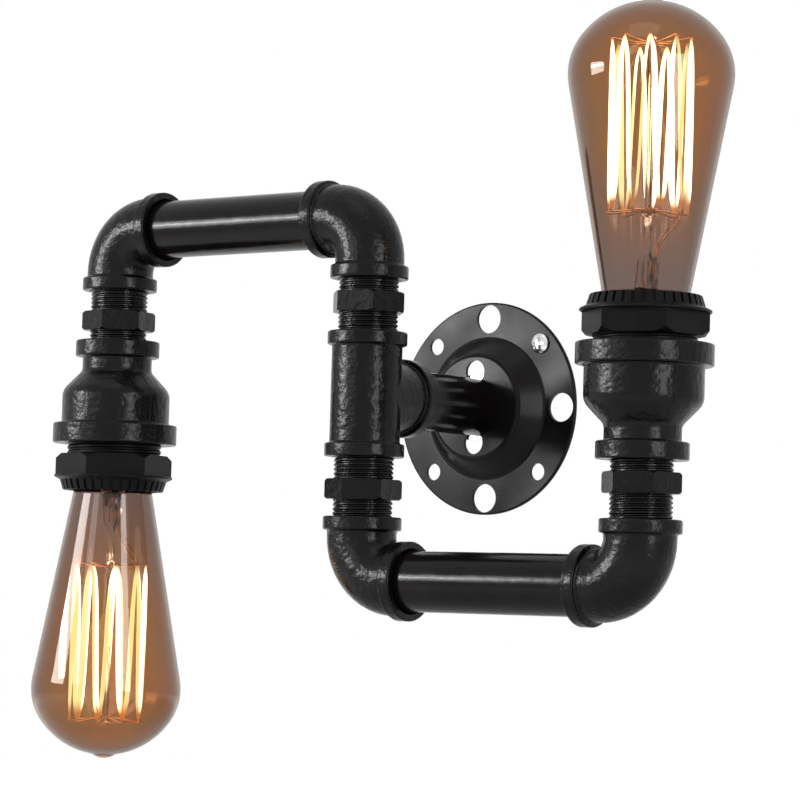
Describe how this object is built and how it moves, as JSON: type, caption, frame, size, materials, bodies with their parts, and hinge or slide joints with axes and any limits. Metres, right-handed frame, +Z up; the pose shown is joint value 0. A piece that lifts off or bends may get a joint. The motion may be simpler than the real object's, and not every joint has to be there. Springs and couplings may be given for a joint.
{
  "type": "industrial pipe wall light",
  "caption": "Wall light of black pipe fittings: a round wall flange carries a tee with swivelling pipe arms, up and down, each ending in a threaded lampholder with a filament bulb.",
  "frame": {"origin": "centre of the flange's back face, on the wall plane", "axes": "+Y into the wall along the branch pipe, +Z up along the swivel axis, +X to the right when facing the wall"},
  "size_m": [0.3336, 0.1182, 0.3043],
  "materials": {
    "painted_casting": "gloss black paint over sand-cast skin",
    "painted_pipe": "semi-gloss black paint on smooth pipe",
    "painted_steel": "semi-gloss black paint on pressed steel",
    "zinc_steel": "bright zinc plate",
    "black_plastic": "matt moulded",
    "ceramic": "glazed white ceramic",
    "brass": "bright brass",
    "solder": "dull solder",
    "black_glass": "dark glass insulator",
    "amber_glass": "amber tinted blown glass",
    "clear_glass": "clear glass",
    "glowing_filament": "glowing carbon filament",
    "support_wire": "drawn wire",
    "cable_jacket": "black round cable jacket"
  },
  "bodies": {
    "wall_mount": {"wall_flange": "painted_steel", "flange_screw": "zinc_steel", "branch_nipple": "painted_pipe", "earth_tag": "zinc_steel", "branch_locknut": "zinc_steel", "cable_bush": "black_plastic", "supply_cables": "cable_jacket", "tee": "painted_casting"},
    "left_arm": {"left_swivel_hex_nipple": "painted_casting", "left_inner_elbow": "painted_casting", "left_arm_pipe": "painted_pipe", "left_outer_elbow": "painted_casting", "left_head_hex_nipple": "painted_casting", "left_reducer": "painted_casting", "left_lamp_cable": "cable_jacket", "left_lampholder_body": "black_plastic", "left_lampholder_ring": "black_plastic", "left_contact_block": "ceramic", "left_screw_shell": "brass", "left_centre_contact": "brass", "left_terminal_screws": "brass"},
    "left_bulb": {"left_bulb_glass": "amber_glass", "left_bulb_cap": "brass", "left_cap_insulator": "black_glass", "left_cap_contact": "solder", "left_bulb_stem": "clear_glass", "left_filament": "glowing_filament", "left_filament_supports": "support_wire"},
    "right_arm": {"right_swivel_hex_nipple": "painted_casting", "right_inner_elbow": "painted_casting", "right_arm_pipe": "painted_pipe", "right_outer_elbow": "painted_casting", "right_head_hex_nipple": "painted_casting", "right_reducer": "painted_casting", "right_lamp_cable": "cable_jacket", "right_lampholder_body": "black_plastic", "right_lampholder_ring": "black_plastic", "right_contact_block": "ceramic", "right_screw_shell": "brass", "right_centre_contact": "brass", "right_terminal_screws": "brass"},
    "right_bulb": {"right_bulb_glass": "amber_glass", "right_bulb_cap": "brass", "right_cap_insulator": "black_glass", "right_cap_contact": "solder", "right_bulb_stem": "clear_glass", "right_filament": "glowing_filament", "right_filament_supports": "support_wire"}
  },
  "joints": [
    {"name": "left_arm_swivel", "type": "hinge", "parent": "wall_mount", "child": "left_arm", "pos_m": [0, -0.0862, 0.04], "axis": [0, 0, 1], "range_deg": [-20, 60]},
    {"name": "right_arm_swivel", "type": "hinge", "parent": "wall_mount", "child": "right_arm", "pos_m": [0, -0.0862, -0.04], "axis": [0, 0, -1], "range_deg": [-20, 60]},
    {"name": "left_bulb_unscrew", "type": "slide", "parent": "left_arm", "child": "left_bulb", "axis": [0, 0, -1], "range_m": [0, 0.036]},
    {"name": "right_bulb_unscrew", "type": "slide", "parent": "right_arm", "child": "right_bulb", "axis": [0, 0, 1], "range_m": [0, 0.036]}
  ]
}
